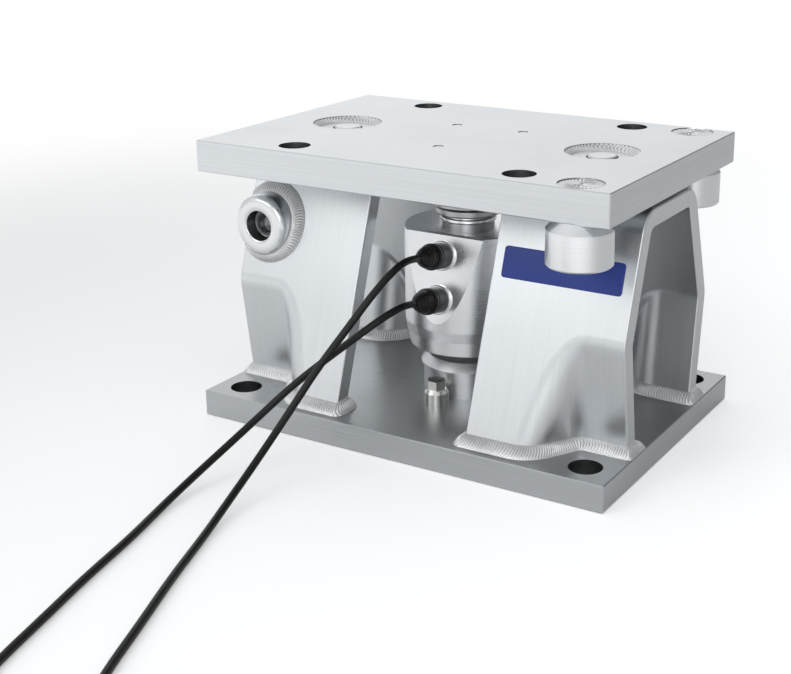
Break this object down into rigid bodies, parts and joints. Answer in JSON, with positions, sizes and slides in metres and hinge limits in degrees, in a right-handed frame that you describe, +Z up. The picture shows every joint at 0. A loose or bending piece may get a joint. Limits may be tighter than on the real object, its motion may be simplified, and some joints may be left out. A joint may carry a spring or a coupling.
{
  "type": "tank weighing module",
  "caption": "Weighing module: a top plate on a rocker load cell between two formed hold-down brackets on a base plate.",
  "frame": {"origin": "middle of the base plate's underside", "axes": "+X along the plates' length, +Y to the side away from the cables, +Z up through the load cell"},
  "size_m": [0.406, 0.8309, 0.26],
  "materials": {
    "plate_steel": "brushed stainless plate",
    "weld": "pickled rippled weld bead",
    "machined_steel": "fine turned stainless",
    "bright_steel": "bright turned steel",
    "dark_metal": "dark grey satin",
    "black_rubber": "satin black",
    "cable_jacket": "satin black jacket",
    "plug_plastic": "matt black",
    "board_green": "green lacquer",
    "gauge_foil": "amber film"
  },
  "bodies": {
    "root": {"back_jacking_post": "plate_steel", "back_post_plug_weld": "weld", "base_plate": "plate_steel", "cell_housing": "machined_steel", "circuit_board": "board_green", "cup_screws": "bright_steel", "front_jacking_post": "plate_steel", "front_post_plug_weld": "weld", "left_back_foot_weld": "weld", "left_bracket": "plate_steel", "left_front_foot_weld": "weld", "left_hold_down_disc": "plate_steel", "left_hold_down_nut": "bright_steel", "left_hold_down_pin": "bright_steel", "left_hold_down_washer": "bright_steel", "left_hold_down_weld": "weld", "lower_bearing_cup": "machined_steel", "lower_bearing_disc": "machined_steel", "lower_cable": "cable_jacket", "lower_cable_coil": "cable_jacket", "lower_gland_nut": "dark_metal", "lower_gland_seat": "bright_steel", "lower_neck_ring": "machined_steel", "lower_plug_body": "plug_plastic", "lower_plug_nut": "bright_steel", "lower_seal": "black_rubber", "lower_strain_relief": "black_rubber", "measuring_column": "machined_steel", "right_back_foot_weld": "weld", "right_bracket": "plate_steel", "right_front_foot_weld": "weld", "right_hold_down_disc": "plate_steel", "right_hold_down_nut": "bright_steel", "right_hold_down_pin": "bright_steel", "right_hold_down_washer": "bright_steel", "right_hold_down_weld": "weld", "side_boss": "plate_steel", "side_boss_weld": "weld", "stop_pin": "bright_steel", "strain_gauges": "gauge_foil", "top_plate": "plate_steel", "upper_bearing_cup": "machined_steel", "upper_bearing_disc": "machined_steel", "upper_cable": "cable_jacket", "upper_cable_coil": "cable_jacket", "upper_gland_nut": "dark_metal", "upper_gland_seat": "bright_steel", "upper_neck_ring": "machined_steel", "upper_plug_body": "plug_plastic", "upper_plug_nut": "bright_steel", "upper_strain_relief": "black_rubber"}
  },
  "joints": []
}
